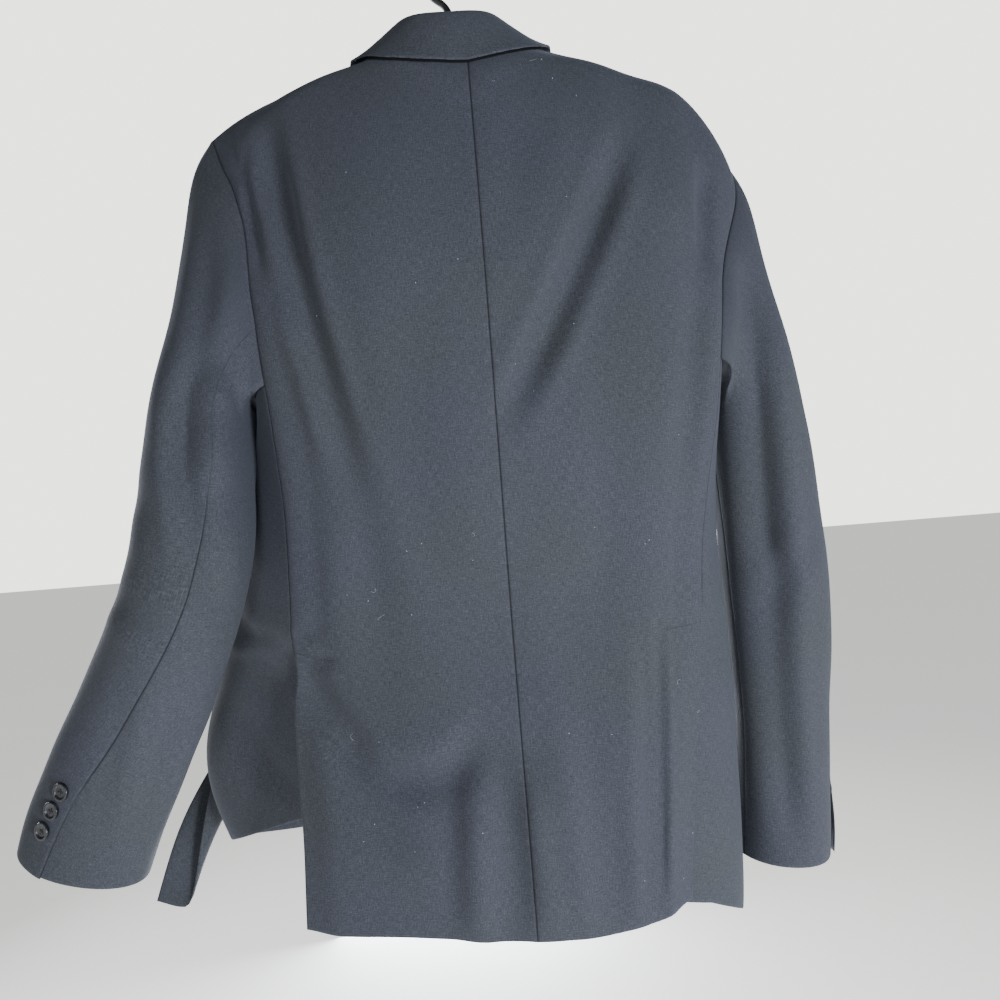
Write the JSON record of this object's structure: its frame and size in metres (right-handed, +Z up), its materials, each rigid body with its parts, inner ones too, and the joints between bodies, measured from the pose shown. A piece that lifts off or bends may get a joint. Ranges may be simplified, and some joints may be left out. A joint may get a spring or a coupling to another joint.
{
  "type": "suit jacket on a hanger",
  "caption": "Single-breasted suit jacket of plain charcoal wool, hung open on a plain hook hanger, its left side swung out at the vent.",
  "frame": {"origin": "the highest point inside the hanger's hook, where it bears on a rail", "axes": "+Z up, along the hanging jacket; +Y out of the jacket's back; +X towards the wearer's left sleeve"},
  "size_m": [0.7607, 0.278, 0.9268],
  "materials": {
    "wool_suiting": "plain-weave worsted wool, charcoal with a navy cast, soft low sheen",
    "collar_felt": "dense black undercollar felt",
    "horn_button": "dark polished resin button",
    "hanger_plastic": "black moulded plastic"
  },
  "bodies": {
    "root": {"back_left": "wool_suiting", "back_right": "wool_suiting", "side_left": "wool_suiting", "side_right": "wool_suiting", "front_left": "wool_suiting", "front_right": "wool_suiting", "lapel_left": "wool_suiting", "lapel_right": "wool_suiting", "top_sleeve_left": "wool_suiting", "top_sleeve_right": "wool_suiting", "under_sleeve_left": "wool_suiting", "under_sleeve_right": "wool_suiting", "collar": "wool_suiting", "undercollar": "collar_felt", "pocket_flap_left": "wool_suiting", "pocket_flap_right": "wool_suiting", "breast_welt": "wool_suiting", "front_button_1": "horn_button", "front_button_2": "horn_button", "cuff_button_left_1": "horn_button", "cuff_button_left_2": "horn_button", "cuff_button_left_3": "horn_button", "cuff_button_right_1": "horn_button", "cuff_button_right_2": "horn_button", "cuff_button_right_3": "horn_button", "hanger_body": "hanger_plastic", "hanger_hook": "hanger_plastic"}
  },
  "joints": []
}
